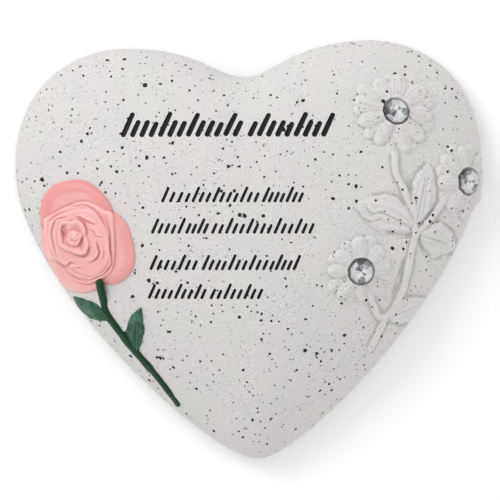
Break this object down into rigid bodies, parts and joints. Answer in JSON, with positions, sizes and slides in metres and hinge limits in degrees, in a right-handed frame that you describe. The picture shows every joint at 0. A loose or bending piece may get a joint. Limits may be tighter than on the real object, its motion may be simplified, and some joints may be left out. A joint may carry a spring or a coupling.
{
  "type": "memorial heart stone",
  "caption": "Domed heart-shaped memorial stone of speckled cast resin, with a raised rose, gem-centred daisies and rows of engraved strokes; lies on its flat back.",
  "frame": {"origin": "on the flat back, below the middle of the heart's box", "axes": "+Z out of the domed face, +Y from the heart's tip towards its lobes, +X to the daisies' side"},
  "size_m": [0.1809, 0.16, 0.04],
  "materials": {
    "speckled_resin": "matt cast resin with fine grain, black specks and faint tints",
    "rose_paint": "satin salmon pink paint",
    "leaf_paint": "satin dark green paint",
    "stroke_paint": "black paint in the engraved strokes",
    "gem_glass": "clear faceted glass with a silver foil back"
  },
  "bodies": {
    "root": {"heart_stone": "speckled_resin", "gem_upper": "gem_glass", "gem_right": "gem_glass", "gem_lower": "gem_glass"}
  },
  "joints": []
}
